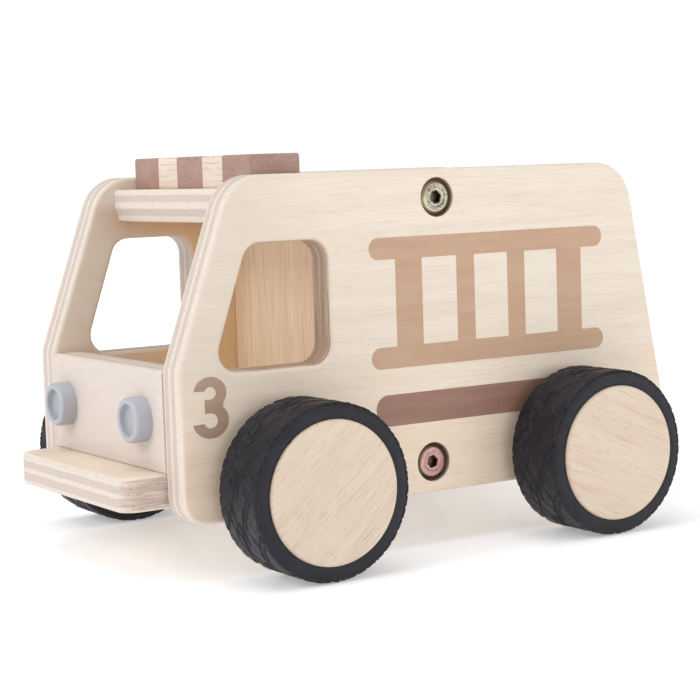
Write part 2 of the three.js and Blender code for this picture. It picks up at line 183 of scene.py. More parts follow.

# Plywood edges, and the side panels' painted light and shade and other marks.
PLY_PALE = srgb(220, 208, 197)
PLY_ROSE = srgb(204, 187, 176)
PLY_BROWN = srgb(190, 166, 148)
PLY_LINE = srgb(142, 110, 86)
# Painted shade on the side's face in front of the window.
COLUMN_PAINTED_SHADE = srgb(208, 194, 179)
# Painted light: lifts and warms the foot of the side, where the wheels shade it.
LOW_SIDE_PAINTED_LIGHT = (1.16, 1.08, 1.0, 1.0)
# Painted warm bounce light on the shaded faces inside the cab.
CAB_PAINTED_BOUNCE_LIGHT = srgb(252, 220, 172)
# Painted shade under the roof, multiplied in.
UNDER_ROOF_PAINTED_SHADE = (0.8, 0.68, 0.62, 1.0)
SCORCHED = srgb(232, 212, 194)
# The brown of bored wood together with painted shade in the bolt recesses.
BORE_BROWN_AND_PAINTED_SHADE = srgb(128, 92, 68)

# Plating tones are (face, its patches, its light speckle and painted ring highlights, bevelled skirt).
YELLOW_ZINC = (srgb(136, 128, 112), srgb(108, 98, 80), srgb(208, 202, 180), srgb(192, 176, 132))
ROSE_ZINC = (srgb(178, 134, 142), srgb(186, 140, 114), srgb(206, 174, 176), srgb(150, 144, 108))
# Painted shade in the bolts' hexagon sockets.
SOCKET_PAINTED_SHADE = srgb(60, 52, 40)

RUBBER_DUST = srgb(80, 78, 86)

# The rest are the two tones of a mottled surface.
RUBBER = (srgb(20, 18, 26), srgb(28, 26, 34))
PLASTIC = (srgb(168, 169, 176), srgb(180, 181, 187))
STEEL = (srgb(176, 176, 178), srgb(206, 206, 208))
NYLON = (srgb(222, 221, 216), srgb(234, 233, 230))
LADDER_INK = (srgb(185, 150, 123), srgb(196, 164, 137))
NUMERAL_INK = (srgb(164, 136, 117), srgb(178, 149, 128))
STRIPE_INK = (srgb(148, 110, 96), srgb(166, 128, 112))


# ---- Outlines ----

def rounded(corners, inset=0.0, steps=ARC_STEPS):
    """Points round an outline of (a, b, radius) corners, counter-clockwise, moved inwards by inset."""
    points = []
    for i, (a, b, radius) in enumerate(corners):
        here = Vector((a, b))
        back = (Vector(corners[i - 1][:2]) - here).normalized()
        ahead = (Vector(corners[(i + 1) % len(corners)][:2]) - here).normalized()
        half = math.acos(max(-1.0, min(1.0, back.dot(ahead)))) / 2
        sense = 1 if back.x * ahead.y - back.y * ahead.x < 0 else -1
        centre = here + (back + ahead).normalized() * (radius / math.sin(half))
        arm = here + back * (radius / math.tan(half)) - centre
        arm *= (radius - sense * inset) / radius
        turn = sense * (math.pi - 2 * half)
        for step in range(steps + 1):
            angle = turn * step / steps
            c, s = math.cos(angle), math.sin(angle)
            points.append(centre + Vector((arm.x * c - arm.y * s, arm.x * s + arm.y * c)))
    return points


def circle(a, b, radius, inset=0.0, steps=64):
    """Points round a circle about (a, b), moved inwards by inset."""
    reach = radius - inset
    turns = [2 * math.pi * k / steps for k in range(steps)]
    return [Vector((a + reach * math.cos(t), b + reach * math.sin(t))) for t in turns]


def rectangle(a0, a1, b0, b1, radius):
    """A rectangle's corners, each with the same radius, as rounded takes them."""
    return ((a0, b0, radius), (a1, b0, radius), (a1, b1, radius), (a0, b1, radius))


# ---- Mesh makers ----

ON_AXIS = 1e-4           # the radius that stands for a point on the axis
MERGE = 1e-7             # metres


class Shell:
    """Collects rings of points and the faces between them, in millimetres."""

    def __init__(self, place):
        self.place = place
        self.points = []
        self.faces = []

    def ring(self, outline, depth):
        """Puts an outline's points at a depth, and returns their numbers."""
        start = len(self.points)
        self.points += [self.place(p.x, p.y, depth) for p in outline]
        return list(range(start, len(self.points)))

    def wall(self, rings):
        """Joins each ring to the next by a band of quads."""
        for low, high in zip(rings, rings[1:]):
            count = len(low)
            self.faces += [(low[k], low[(k + 1) % count], high[(k + 1) % count], high[k])
                           for k in range(count)]

    def cap(self, loops):
        """Fills between loops: the first is the rim, and any others are holes in it."""
        flat = [i for loop in loops for i in loop]
        lines = [[Vector(self.points[i]) for i in loop] for loop in loops]
        self.faces += [tuple(flat[k] for k in tri) for tri in tessellate_polygon(lines)]

    def piece(self, name, sharp=35):
        mesh = bpy.data.meshes.new(name)
        mesh.from_pydata([tuple(c * MM for c in p) for p in self.points], [], self.faces)
        return finished(name, mesh, sharp)


def in_scene(name, data):
    """A new object with this data, in the scene."""
    made = bpy.data.objects.new(name, data)
    bpy.context.scene.collection.objects.link(made)
    return made


def finished(name, mesh, sharp=35):
    """The mesh with outward normals and smooth shading between its sharp edges, as an object."""
    work = bmesh.new()
    work.from_mesh(mesh)
    bmesh.ops.remove_doubles(work, verts=work.verts, dist=MERGE)
    bmesh.ops.recalc_face_normals(work, faces=work.faces)
    work.to_mesh(mesh)
    work.free()
    mesh.shade_smooth()
    mesh.set_sharp_from_angle(angle=math.radians(sharp))
    return in_scene(name, mesh)


def edge_layers(thickness, front, back, steps=6):
    """(depth, inset) down through a sheet whose edges are rounded by front and back."""
    quarter = [math.pi / 2 * k / steps for k in range(steps + 1)]
    top = [(front * (1 - math.cos(q)), front * (1 - math.sin(q))) for q in quarter]
    foot = [(thickness - back * (1 - math.cos(q)), back * (1 - math.sin(q))) for q in quarter]
    return [(0.0, front + SUPPORT)] + top + foot[::-1] + [(thickness, back + SUPPORT)]


def sheet(name, outline, thickness, place, rounding=PLY_ROUND, holes=(), bores=(), pockets=()):
    """A sheet with rounded edges.

    outline and each of holes are corner lists, bores are (a, b, radius) right through it, and
    pockets are (points at an inset, depth, edge) sunk in its front face.
    """
    front, back = rounding if isinstance(rounding, tuple) else (rounding, rounding)
    shell = Shell(place)
    layers = edge_layers(thickness, front, back)
    walls = [[shell.ring(rounded(outline, inset), depth) for depth, inset in layers]]
    for hole in holes:
        walls.append([shell.ring(rounded(hole, -inset), depth) for depth, inset in layers])
    for a, b, radius in bores:
        walls.append([shell.ring(circle(a, b, radius), depth) for depth in (0.0, thickness)])
    fronts = [rings[0] for rings in walls]
    backs = [rings[-1] for rings in walls]
    for shape, depth, edge in pockets:
        steps = ((0.0, -edge - SUPPORT), (0.0, -edge), (edge * 0.3, -edge * 0.3), (edge, 0.0),
                 (depth, 0.0))
        rings = [shell.ring(shape(inset), down) for down, inset in steps]
        shell.wall(rings)
        shell.cap([rings[-1]])
        fronts.append(rings[0])
    for rings in walls:
        shell.wall(rings)
    shell.cap(fronts)
    shell.cap(backs)
    return shell.piece(name)


def turned(name, profile, place, steps=96):
    """A body of revolution of (radius, along) points; place takes a turned point and along."""
    shell = Shell(place)
    rings = [shell.ring(circle(0, 0, max(radius, ON_AXIS), steps=steps), along)
             for radius, along in profile]
    shell.wall(rings)
    for end in (0, -1):
        if profile[end][0] > ON_AXIS:
            shell.cap([rings[end]])
    return shell.piece(name)


def arc(centre_r, centre_x, radius, start, end, steps=6):
    """Profile points on an arc about (centre_r, centre_x); 0 degrees points away from the axis."""
    turns = [math.radians(start + (end - start) * k / steps) for k in range(steps + 1)]
    return [(centre_r + radius * math.cos(t), centre_x + radius * math.sin(t)) for t in turns]


def dress(piece, node, look):
    """The piece takes its look and stands for one CAD node, on that node's body."""
    piece.data.materials.append(look)
    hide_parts(node)
    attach(piece, BODY_OF[node])
    return piece


def box_mm(node):
    """A CAD node's lowest and highest corners in millimetres."""
    low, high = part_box(node)
    return low / MM, high / MM


def outer_inner(node):
    """How far a node's outer and inner faces lie from the middle plane, either side of it."""
    low, high = box_mm(node)
    reach = abs(low.x), abs(high.x)
    return max(reach), min(reach)


# ---- Materials ----

def feed(tree, socket, value):
    """Links a socket to the value, or sets it where the value is a constant."""
    if isinstance(value, bpy.types.NodeSocket):
        tree.links.new(value, socket)
    else:
        socket.default_value = value


def add_node(tree, kind, *values, **settings):
    """A new node with these settings, and with its first inputs fed in order."""
    made = tree.nodes.new(kind)
    for key, value in settings.items():
        setattr(made, key, value)
    for socket, value in zip(made.inputs, values):
        feed(tree, socket, value)
    return made


def empty_material(name):
    """A material and its node tree, with no nodes in it."""
    material = bpy.data.materials.new(name)
    material.use_nodes = True
    material.node_tree.nodes.clear()
    return material, material.node_tree


class Look:
    """A procedural material, put together node by node in millimetres of the row frame."""

    def __init__(self, name, metallic=0.0, specular=0.5):
        self.material, self.tree = empty_material(name)
        self.shader = self.node("ShaderNodeBsdfPrincipled")
        self.shader.inputs["Metallic"].default_value = metallic
        self.shader.inputs["Specular IOR Level"].default_value = specular
        self.node("ShaderNodeOutputMaterial", self.shader.outputs[0])
        coords = self.node("ShaderNodeTexCoord")
        self.here = self.scaled(coords.outputs["Object"], 1 / MM)
        self.normal = coords.outputs["Normal"]

    def node(self, kind, *values, **settings):
        return add_node(self.tree, kind, *values, **settings)

    def scaled(self, vector, scale):
        made = self.node("ShaderNodeVectorMath", vector, operation="SCALE")
        feed(self.tree, made.inputs["Scale"], scale)
        return made.outputs[0]

    def maths(self, operation, a, b=0.0):
        return self.node("ShaderNodeMath", a, b, operation=operation).outputs[0]

    def both(self, first, *others):
        """The product of masks, which is full only where they all are."""
        for other in others:
            first = self.maths("MULTIPLY", first, other)
        return first

    def varied(self, base, value, spread):
        """base, raised by up to spread as value goes from 0 to 1."""
        return self.maths("ADD", base, self.maths("MULTIPLY", value, spread))

    def off(self, value, centre):
        """How far value lies from centre, either way."""
        return self.maths("ABSOLUTE", self.maths("SUBTRACT", value, centre))

    def axis(self, index, of=None):
        """One coordinate of the place, or of another vector."""
        return self.node("ShaderNodeSeparateXYZ", of or self.here).outputs[index]

    def grain(self, size, turn=(0, 0, 0), shift=(0, 0, 0), detail=2.0, rough=0.5, of=None):
        """Noise from 0 to 1 whose features measure about size along the turned axes."""
        turn = [math.radians(t) for t in turn]
        place = self.node("ShaderNodeMapping", of or self.here, shift, turn, size, vector_type="TEXTURE")
        noise = self.node("ShaderNodeTexNoise")
        feed(self.tree, noise.inputs["Vector"], place.outputs[0])
        noise.inputs["Scale"].default_value = 1.0
        noise.inputs["Detail"].default_value = detail
        noise.inputs["Roughness"].default_value = rough
        return noise.outputs["Fac"]

    def bent(self, direction, amount, size, shift=(0, 0, 0)):
        """The place, pushed along direction by up to about half of amount, so that grain wanders."""
        sway = self.maths("SUBTRACT", self.grain(size, shift=shift), 0.5)
        push = self.scaled(direction, self.maths("MULTIPLY", sway, amount))
        return self.node("ShaderNodeVectorMath", self.here, push, operation="ADD").outputs[0]

    def band(self, value, low, high, to=1.0):
        """0 below low, to above high, smooth between them."""
        made = self.node("ShaderNodeMapRange", value, low, high, 0.0, to, interpolation_type="SMOOTHSTEP")
        return made.outputs[0]

    def zone(self, index, limits, to=1.0):
        """A band of the place along one axis, from limits' first value to its last."""
        return self.band(self.axis(index), *limits, to)

    def blend(self, factor, a, b, mode="MIX"):
        """Goes from colour a to b, or to a times b, as factor rises."""
        made = self.node("ShaderNodeMix", data_type="RGBA", blend_type=mode)
        for index, value in ((0, factor), (6, a), (7, b)):
            feed(self.tree, made.inputs[index], value)
        return made.outputs[2]

    def steps(self, value, stops):
        """A colour that changes at each (place, colour), hard-edged."""
        made = self.node("ShaderNodeValToRGB", value)
        ramp = made.color_ramp
        ramp.interpolation = "CONSTANT"
        while len(ramp.elements) < len(stops):
            ramp.elements.new(1.0)
        for element, (at, colour) in zip(ramp.elements, stops):
            element.position = at
            element.color = colour
        return made.outputs[0]

    def finish(self, colour, rough, height, lift):
        """The finished material; lift is the bump's height in millimetres."""
        bump = self.node("ShaderNodeBump")
        bump.inputs["Distance"].default_value = lift * MM
        feed(self.tree, bump.inputs["Height"], height)
        sockets = {"Base Color": colour, "Roughness": rough, "Normal": bump.outputs[0]}
        for name, value in sockets.items():
            feed(self.tree, self.shader.inputs[name], value)
        return self.material

    def finish_wood(self, colour, dash, streak, rough=0.42):
        """Sanded wood: rougher along its streaks, with its dashes a little sunk."""
        sunk = self.maths("SUBTRACT", 1.0, dash)
        return self.finish(colour, self.varied(rough, streak, 0.16), sunk, 0.06)


def veneer(look, tones, size, across, turn=(0, 0, 0), marks=0.5, pores=0.0):
    """Sanded face grain: a faint broad tone, fine streaks, short dashes and a few dark pores.

    size is (x, y, z) of a dash in millimetres, and across the direction that the grain wanders in.
    A size under 1 mm lies across the grain, where the broad tone and the streaks scale otherwise.
    Returns the colour and the masks of the dashes and the streaks.
    """
    pale, warm, dark = tones
    where = look.bent(across, 4.0, [max(22.0, 7.0 * s) for s in size], shift=(31, 7, 13))
    broad = [28.0 * s if s < 1 else 7.0 * s for s in size]
    broad = look.grain(broad, turn, (3, 5, 7), 2.0, of=where)
    streak = [1.7 * s if s < 1 else 3.0 * s for s in size]
    streak = look.grain(streak, turn, (11, 23, 5), 3.0, 0.6, of=where)
    dash = look.grain(size, turn, (41, 17, 29), 2.0, of=where)
    colour = look.blend(look.band(broad, 0.35, 0.65, 0.6), pale, warm)
    colour = look.blend(look.band(streak, 0.48, 0.72, 0.5), colour, warm)
    colour = look.blend(look.band(dash, 0.53, 0.70, marks), colour, dark)
    if pores:
        pore = look.grain([0.8 * s for s in size], turn, (5, 61, 37), 1.0, of=where)
        colour = look.blend(look.band(pore, 0.69, 0.74, pores), colour, PORE)
    return colour, dash, streak


def ply_edge(look, depth, bands, end_axis=None):
    """Stacked veneers seen on a board's edge, each with its own tone and pores.

    Edges that face along end_axis cut across the outer veneers' grain, so they look browner.
    """
    wobble = look.grain((9.0, 9.0, 9.0), shift=(5, 3, 1))
    depth = look.varied(depth, look.maths("SUBTRACT", wobble, 0.5), 0.7)
    colour = look.steps(look.maths("DIVIDE", depth, PLY), bands)
    pores = look.grain((0.55, 0.55, 0.55), shift=(2, 9, 4), detail=3.0)
    lines = look.grain((1.8, 1.8, 1.8), shift=(8, 1, 6), detail=4.0)
    colour = look.blend(look.band(lines, 0.48, 0.75, 0.4), colour, PLY_BROWN)
    colour = look.blend(look.band(pores, 0.62, 0.76, 0.4), colour, PLY_LINE)
    if end_axis is not None:
        facing = look.maths("ABSOLUTE", look.axis(end_axis, look.normal))
        blot = look.grain((14.0, 14.0, 0.9), shift=(7, 7, 2), detail=3.0)
        end_grain = look.both(look.band(facing, 0.3, 0.85), look.band(blot, 0.36, 0.62))
        colour = look.blend(look.maths("MULTIPLY", end_grain, 0.75), colour, PLY_BROWN)
        speck = look.grain((1.6, 1.6, 0.45), shift=(4, 9, 1), detail=3.0)
        speck = look.band(speck, 0.55, 0.68, 0.6)
        colour = look.blend(look.both(end_grain, speck), colour, PLY_LINE)
    return colour


def ply_bands(edges):
    """Colour steps for veneers that end at the given fractions of the thickness."""
    starts = (0.0, *edges)
    return [(at, PLY_ROSE if k % 2 else PLY_PALE) for k, at in enumerate(starts)]


def plywood(name, index, depth_of, tones, dash, across, edges, marks, end_axis=None, cab=False):
    """A plywood board whose thickness runs along the axis with this index.

    depth_of gives the depth below its face, and cab adds the side panels' painted light and shade and
    their browner window edge.
    """
    look = Look(name, specular=0.35)
    face, marks_mask, streak = veneer(look, tones, dash, across, marks=marks)
    facing = look.maths("ABSOLUTE", look.axis(index, look.normal))
    on_edge = look.maths("SUBTRACT", 1.0, look.band(facing, 0.45, 0.8))
    edge = ply_edge(look, depth_of(look), ply_bands(edges), end_axis)
    if cab:
        face = cab_painted_bounce_and_shade(look, side_painted_light_and_shade(look, face))
        edge = scorched_window(look, edge)
    colour = look.blend(on_edge, face, edge)
    if cab:
        colour = recess_brown_and_painted_shade(look, colour, depth_of(look))
    return look.finish_wood(colour, marks_mask, streak)


def side_painted_light_and_shade(look, colour):
    """Painted shade makes the side a little darker in front of the window, and painted light makes it
    lighter and warmer towards its foot.
    """
    column = look.both(look.zone(Y, COLUMN_Y, 0.5), look.zone(Z, COLUMN_Z))
    # Painted shade in front of the window, then painted light towards the foot.
    colour = look.blend(column, colour, COLUMN_PAINTED_SHADE)
    return look.blend(look.zone(Z, LOW_SIDE_Z, 0.85), colour, LOW_SIDE_PAINTED_LIGHT, "MULTIPLY")


def cab_painted_bounce_and_shade(look, colour):
    """Painted warm bounce light turns faces that look at the middle of the cab golden towards the
    bulkhead, and painted shade makes them browner under the roof."""
    inward = look.band(look.maths("MULTIPLY", look.axis(X), look.axis(X, look.normal)), *INWARD)
    inside = look.both(inward, look.zone(Y, CAB_REAR_Y), look.zone(Z, CAB_TOP_Z))
    # Painted warm bounce light, then painted shade under the roof.
    colour = look.blend(look.both(inside, look.zone(Y, CAB_PAINTED_BOUNCE_Y, 0.8)), colour, CAB_PAINTED_BOUNCE_LIGHT)
    shade = look.both(inside, look.zone(Z, ROOF_SHADE_Z, 0.9), look.zone(Y, ROOF_SHADE_Y))
    return look.blend(shade, colour, UNDER_ROOF_PAINTED_SHADE, "MULTIPLY")


def scorched_window(look, colour):
    """The near panel's window edge is browner than the board's outside edge, and lined."""
    zones = [look.zone(Y, limits) for limits in SCORCH_Y] + [look.zone(Z, limits) for limits in SCORCH_Z]
    window = look.both(*zones, look.zone(X, NEAR_PANEL_X, 0.85))
    lines = look.band(look.grain((0.7, 30.0, 30.0), shift=(4, 2, 6), detail=2.0), 0.5, 0.66, 0.8)
    colour = look.blend(window, colour, SCORCHED, "MULTIPLY")
    return look.blend(look.both(window, lines), colour, PLY_LINE)


def from_bolt(look, level):
    """The distance from a bolt's axis, in millimetres."""
    y, z = bolt_centre(level)
    squares = [look.maths("POWER", look.off(look.axis(index), centre), 2.0)
               for index, centre in ((Y, y), (Z, z))]
    return look.maths("SQRT", look.maths("ADD", *squares))


def panel_depth(look):
    """The depth below a side panel's outer face, on either side."""
    return look.maths("SUBTRACT", PANEL_FACE_X, look.maths("ABSOLUTE", look.axis(X)))


def recess_brown_and_painted_shade(look, colour, depth):
    """The bolt recesses' bored walls and floors turn dark brown with depth: partly the brown of bored
    wood, partly painted shade.
    """
    for level in LEVELS:
        near = look.maths("LESS_THAN", from_bolt(look, level), BOLT_RECESS_R + 0.2)
        # Painted shade that deepens into the recess, over the brown of the bored wood.
        colour = look.blend(look.both(near, look.band(depth, *RECESS_DEPTH, 0.85)), colour, BORE_BROWN_AND_PAINTED_SHADE)
    return colour


def side_plywood():
    return plywood("side_plywood_look", X, panel_depth, SIDE_VENEER, (5.0, 15.0, 0.24), (0, 0, 1),
                   (0.234, 0.455, 0.60, 0.834), 0.34, cab=True)


def board_plywood(name, top, edges):
    """Plywood that lies flat under top, with its end grain at its ends in x."""
    def depth(look):
        return look.maths("SUBTRACT", top, look.axis(Z))
    return plywood(name, Z, depth, BOARD_VENEER, (9.0, 0.5, 5.0), (0, 1, 0), edges, 0.35, end_axis=X)


def front_plywood(front_y):
    def depth(look):
        return look.maths("SUBTRACT", look.axis(Y), front_y)
    return plywood("front_plywood_look", Y, depth, FRONT_VENEER, (9.0, 5.0, 0.4), (0, 0, 1),
                   (0.2, 0.4, 0.6, 0.8), 0.25)


def plain_wood(name, tones, dash, across, marks=0.4, rough=0.42, pores=0.0, laid=0.0):
    """Solid wood; laid is the spacing of thin glue lines stacked in z, where there are any."""
    look = Look(name, specular=0.35)
    colour, marks_mask, streak = veneer(look, tones, dash, across, marks=marks, pores=pores)
    if laid:
        sway = look.maths("MULTIPLY", look.grain((14.0, 14.0, 6.0), shift=(6, 2, 9)), 1.6)
        height = look.maths("ADD", look.axis(Z), sway)
        phase = look.maths("FRACT", look.maths("DIVIDE", height, laid))
        gate = look.band(look.grain((9.0, 9.0, 1.2), shift=(2, 8, 3)), 0.40, 0.6)
        line = look.both(look.maths("LESS_THAN", phase, 0.08), gate)
        colour = look.blend(look.maths("MULTIPLY", line, 0.75), colour, tones[-1])
    return look.finish_wood(colour, marks_mask, streak, rough)


def disc_wood(name, slope):
    """A wheel disc's face grain, which rises by slope degrees from front to rear."""
    look = Look(name, specular=0.35)
    turn = (slope, 0, 0)
    colour, marks_mask, streak = veneer(look, DISC_FACE, (4.0, 12.0, 0.25), (0, 0, 1), turn, 0.38, 0.9)
    blush = look.grain((20.0, 30.0, 2.6), turn, (71, 3, 19), 2.0)
    colour = look.blend(look.band(blush, 0.55, 0.75, 0.4), colour, DISC_BLUSH)
    return look.finish_wood(colour, marks_mask, streak)


# ---- Other materials ----

def tyre_rubber():
    look = Look("tyre_rubber_look", specular=0.34)
    tone = look.grain((9.0, 9.0, 9.0), shift=(3, 1, 8), detail=3.0)
    dust = look.grain((2.2, 2.2, 2.2), shift=(13, 5, 2), detail=4.0, rough=0.7)
    skin = look.grain((0.5, 0.5, 0.5), shift=(1, 6, 3), detail=3.0)
    colour = look.blend(look.band(tone, 0.35, 0.65), *RUBBER)
    colour = look.blend(look.band(dust, 0.62, 0.78, 0.4), colour, RUBBER_DUST)
    return look.finish(colour, look.varied(0.3, dust, 0.35), skin, 0.09)


def grey_plastic():
    look = Look("headlight_plastic_look", specular=0.45)
    tone = look.grain((7.0, 7.0, 7.0), shift=(1, 2, 3), detail=3.0)
    skin = look.grain((0.35, 0.35, 0.35), shift=(4, 4, 4), detail=2.0)
    return look.finish(look.blend(tone, *PLASTIC), look.varied(0.36, tone, 0.14), skin, 0.02)


def plated(name, tones, level):
    """Zinc plating on the two bolts of one level, with a light speckle, two rings of painted highlight
    and a socket darkened by painted shade.
    """
    face, patches, rings, skirt = tones
    look = Look(name, metallic=1.0)
    patch = look.grain((4.5, 4.5, 4.5), shift=(*bolt_centre(level), 2), detail=2.0)
    fine = look.grain((0.8, 0.8, 0.8), shift=(9, 1, 5), detail=3.0)
    radius = from_bolt(look, level)
    colour = look.blend(look.band(patch, 0.38, 0.62), face, patches)
    colour = look.blend(look.band(fine, 0.46, 0.6, 0.6), colour, rings)
    # Painted highlights: a ring on the head's face and another round its rim.
    inner_ring_highlight = look.band(look.off(radius, 3.8), 0.5, 0.1, 0.5)
    rim = look.band(look.off(radius, BOLT_FACE_R - 0.2), 0.5, 0.2)
    colour = look.blend(look.maths("MAXIMUM", inner_ring_highlight, rim), colour, rings)
    colour = look.blend(look.band(radius, BOLT_FACE_R, BOLT_FACE_R + 0.4), colour, skirt)
    # Painted shade inside the hexagon socket.
    socket_painted_shade = look.both(look.band(panel_depth(look), 1.4, 2.6), look.band(radius, 3.1, 2.9, 0.8))
    colour = look.blend(socket_painted_shade, colour, SOCKET_PAINTED_SHADE)
    return look.finish(colour, look.varied(0.24, patch, 0.3), fine, 0.03)


def mottled(name, tones, size, shift, rough, spread, **shine):
    """Steel or nylon whose colour, gloss and surface all follow one noise."""
    look = Look(name, **shine)
    tone = look.grain(size, shift=shift, detail=3.0)
    return look.finish(look.blend(tone, *tones), look.varied(rough, tone, spread), tone, 0.02)


def ink(name, tones):
    """Printed ink, thin enough for the grain to show through as lighter dashes."""
    deep, light = tones
    look = Look(name, specular=0.3)
    where = look.bent((0, 0, 1), 5.0, (30, 48, 18), shift=(31, 7, 13))
    worn = look.grain((5.0, 8.0, 0.42), shift=(41, 17, 29), detail=2.0, of=where)
    tone = look.grain((20.0, 40.0, 4.0), shift=(3, 9, 1), detail=3.0)
    colour = look.blend(look.band(tone, 0.3, 0.7, 0.5), deep, light)
    colour = look.blend(look.band(worn, 0.56, 0.74, 0.35), colour, light)
    return look.finish(colour, look.varied(0.42, worn, 0.16), worn, 0.04)


# ---- Side panels and boards ----

def centre_of(node):
    """The (y, z) of a CAD node's middle."""
    low, high = box_mm(node)
    middle = (low + high) / 2
    return middle.y, middle.z


def axle_centre(end):
    return centre_of(f"axle_{end}")


def bolt_centre(level):
    return centre_of(f"connector_bolt_{level}_left")


def across_from(face_x, sign):
    """Places (y, z, depth), with the depth measured inwards from a face face_x off the middle."""
    return lambda y, z, depth: (sign * (face_x - depth), y, z)


def make_side_panels(look):
    pockets = []
    for level in LEVELS:
        y, z = bolt_centre(level)
        pockets.append((lambda inset, y=y, z=z: circle(y, z, BOLT_RECESS_R, inset),
                        BOLT_RECESS, BOLT_RECESS_ROUND))
    bores = [(*axle_centre(end), AXLE_BORE_R) for end in AXLES]
    for side, sign in SIDES.items():
        panel = sheet(f"side_panel_{side}_board", SIDE_CORNERS, PLY, across_from(PANEL_FACE_X, sign),
                      holes=[WINDOW_CORNERS], bores=bores, pockets=pockets)
        dress(panel, f"side_panel_{side}", look)


def make_floor(look):
    low, high = box_mm("floor_board")
    outline = (
        (low.x, low.y, FLOOR_CORNER_R), (high.x, low.y, FLOOR_CORNER_R),
        (high.x, high.y, FLOOR_REAR_R), (low.x, high.y, FLOOR_REAR_R),
    )
    floor = sheet("floor_board_wood", outline, high.z - low.z,
                  lambda x, y, depth: (x, y, high.z - depth))
    for end in AXLES:
        bore_across(floor, end, TUNNEL_R)
    dress(floor, "floor_board", look)


def bore_across(piece, end, radius):
    """Cuts the axle's tunnel right through a board."""
    y, z = axle_centre(end)
    rod = turned("rod", [(radius, -PANEL_FACE_X), (radius, PANEL_FACE_X)],
                 lambda a, b, x: (x, y + a, z + b), steps=48)
    modifier = piece.modifiers.new("tunnel", "BOOLEAN")
    modifier.operation = "DIFFERENCE"
    modifier.solver = "EXACT"
    modifier.object = rod
    bpy.context.view_layer.update()
    graph = bpy.context.evaluated_depsgraph_get()
    cut = bpy.data.meshes.new_from_object(piece.evaluated_get(graph))
    piece.modifiers.clear()
    piece.data = cut
    bpy.data.objects.remove(rod)


def section_bar(name, node, corners, look, rounding=SHARP_EDGE):
    """A bar of one section in y and z that fills its CAD node from side to side."""
    low, high = box_mm(node)
    bar = sheet(name, corners, high.x - low.x, lambda y, z, depth: (low.x + depth, y, z),
                rounding=rounding)
    return dress(bar, node, look)


def make_boards():
    _, floor_high = box_mm("floor_board")
    make_floor(board_plywood("floor_plywood_look", floor_high.z, (0.22, 0.44, 0.58, 0.83)))
    low, high = box_mm("roof_board")
    roof = ((low.y, high.z, 1.8), (low.y, low.z + ROOF_CHIN_TOP, 4.0), (low.y + ROOF_CHIN, low.z, 1.2),
            (high.y, low.z, PLY_ROUND), (high.y, high.z, PLY_ROUND))
    section_bar("roof_board_wood", "roof_board", roof,
                board_plywood("roof_plywood_look", high.z, (0.17, 0.385, 0.58, 0.81)))
    low, high = box_mm("front_panel")
    panel = ((low.y, low.z, 0.8), (high.y, low.z, 0.8),
             (high.y, high.z, PLY_ROUND), (low.y, high.z, PLY_ROUND))
    section_bar("front_panel_wood", "front_panel", panel, front_plywood(low.y))
    low, high = box_mm("cab_bulkhead")
    pine = plain_wood("bulkhead_pine_look", BULKHEAD_PINE, (0.5, 5.0, 26.0), (1, 0, 0))
    section_bar("cab_bulkhead_wood", "cab_bulkhead", rectangle(low.y, high.y, low.z, high.z, 0.8), pine)


# ---- Light bar and headlights ----

def make_light_bar():
    brown = plain_wood("light_bar_brown_look", BAR_BROWN, (1.3, 1.8, 0.34), (0, 0, 1),
                       marks=0.45, rough=0.37, pores=0.6)
    pale = plain_wood("light_bar_pale_look", BAR_PALE, (7.0, 7.0, 0.3), (0, 0, 1),
                      marks=0.3, rough=0.37, laid=2.6)
    glued, outer = 0.1, 0.25        # rounding of the blocks' ends
    for number in range(1, 6):
        node = f"light_bar_block_{number}"
        low, high = box_mm(node)
        corners = ((low.y, low.z, 0.6), (high.y, low.z, 0.6), (high.y, high.z, 1.2), (low.y, high.z, 1.2))
        ends = (outer if number == 1 else glued, outer if number == 5 else glued)
        section_bar(f"{node}_wood", node, corners, brown if number % 2 else pale, ends)


def headlight_profile(radius, face):
    """The cup's section from its spigot's axis round to its floor, as (radius, out from the panel)."""
    spigot, spigot_length = 4.0, 8.0
    mouth, recess = 6.8, 3.0
    outer_lip, inner_lip, floor_round = 1.5, 0.7, 0.8
    return [
        (0.0, -spigot_length), (spigot, -spigot_length), (spigot, 0.0), (radius, 0.0), (radius, 0.4),
        *arc(radius - outer_lip, face - outer_lip, outer_lip, 0, 90),
        *arc(mouth + inner_lip, face - inner_lip, inner_lip, 90, 180, 4),
        *arc(mouth - floor_round, face - recess + floor_round, -floor_round, 180, 90, 4),
        (0.0, face - recess),
    ]


def make_headlights(look):
    front = box_mm("front_panel")[0].y
    for side in SIDES:
        node = f"headlight_cup_{side}"
        low, high = box_mm(node)
        x, z = (low.x + high.x) / 2, (low.z + high.z) / 2
        profile = headlight_profile((high.z - low.z) / 2, front - low.y)
        cup = turned(f"{node}_shell", profile, lambda a, b, out, x=x, z=z: (x + a, front - out, z + b))
        dress(cup, node, look)


# ---- Bolts ----

def make_bolts():
    looks = {
        "upper": plated("bolt_yellow_zinc_look", YELLOW_ZINC, "upper"),
        "lower": plated("bolt_rose_zinc_look", ROSE_ZINC, "lower"),
    }
    for level, look in looks.items():
        for side, sign in SIDES.items():
            node = f"connector_bolt_{level}_{side}"
            dress(bolt_mesh(f"{node}_zinc", node, bolt_centre(level), sign), node, look)


def hexagon(centre, inset):
    """The socket's six corners, moved inwards by inset."""
    reach = SOCKET_FLATS / math.sqrt(3) - inset
    turns = [math.radians(60 * k + SOCKET_TURN) for k in range(6)]
    return [Vector((centre[0] + reach * math.cos(t), centre[1] + reach * math.sin(t))) for t in turns]


